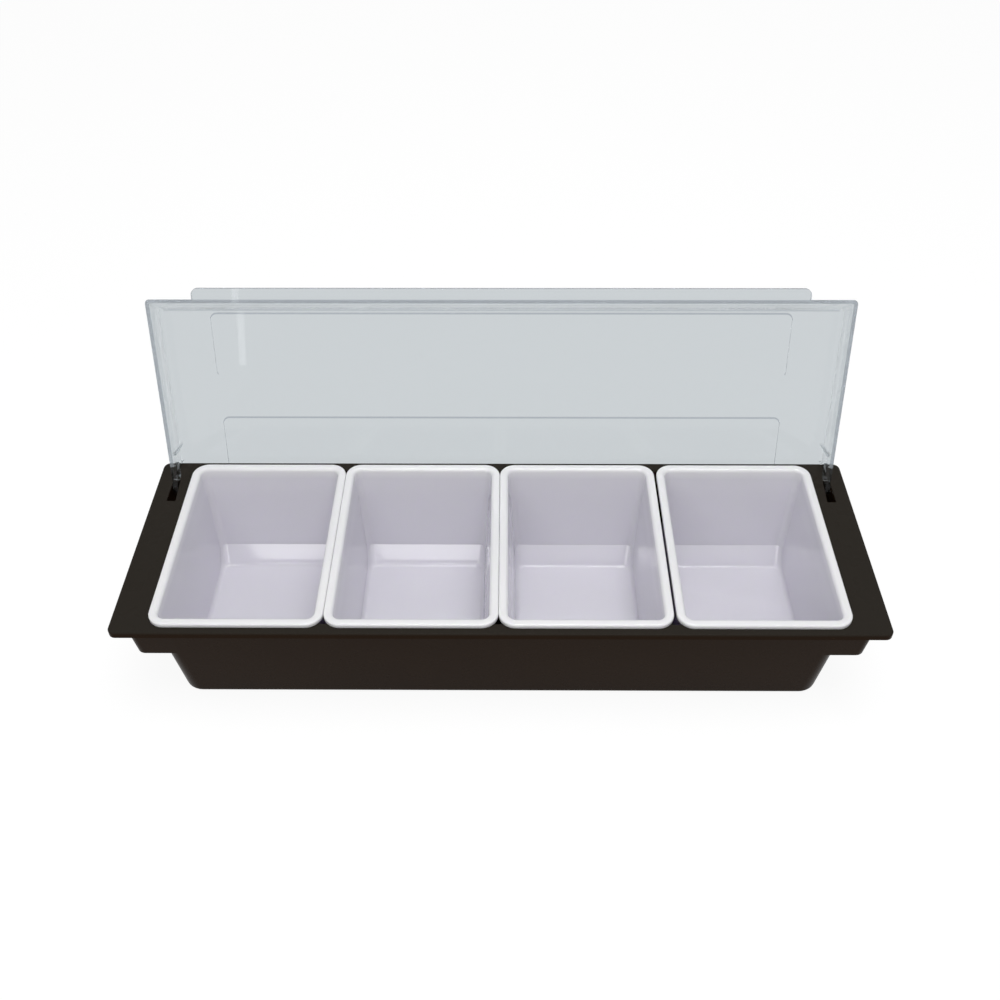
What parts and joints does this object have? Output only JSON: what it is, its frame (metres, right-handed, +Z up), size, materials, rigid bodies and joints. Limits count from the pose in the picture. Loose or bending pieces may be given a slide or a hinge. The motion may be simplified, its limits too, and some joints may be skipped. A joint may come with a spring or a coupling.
{
  "type": "bar garnish tray",
  "caption": "Counter-top garnish tray: a deep tub with a flanged rim, lift-out insert pans hung in a row over an ice space, and a clear lid hinged at the rear.",
  "frame": {"origin": "middle of the flat underside of the base tray, which the tray rests on", "axes": "+X along the tray's length to the user's right, +Y from the user's side to the hinge side, +Z up"},
  "size_m": [0.495, 0.1989, 0.2244],
  "materials": {
    "tray_plastic": "dark brown moulded plastic, smooth and slightly glossy",
    "insert_plastic": "glossy white moulded plastic",
    "clear_plastic": "clear polished moulded plastic"
  },
  "bodies": {
    "base": {"base_tray": "tray_plastic"},
    "lid": {"clear_lid": "clear_plastic"},
    "far_left": {"insert_far_left": "insert_plastic"},
    "mid_left": {"insert_mid_left": "insert_plastic"},
    "mid_right": {"insert_mid_right": "insert_plastic"},
    "far_right": {"insert_far_right": "insert_plastic"}
  },
  "joints": [
    {"name": "lid_hinge", "type": "hinge", "parent": "base", "child": "lid", "pos_m": [0, 0.0576, 0.0845], "axis": [-1, 0, 0], "range_deg": [-105.7, 0]},
    {"name": "far_left_lift", "type": "slide", "parent": "base", "child": "far_left", "axis": [0, 0, 1], "range_m": [0, 0.09]},
    {"name": "mid_left_lift", "type": "slide", "parent": "base", "child": "mid_left", "axis": [0, 0, 1], "range_m": [0, 0.09]},
    {"name": "mid_right_lift", "type": "slide", "parent": "base", "child": "mid_right", "axis": [0, 0, 1], "range_m": [0, 0.09]},
    {"name": "far_right_lift", "type": "slide", "parent": "base", "child": "far_right", "axis": [0, 0, 1], "range_m": [0, 0.09]}
  ]
}
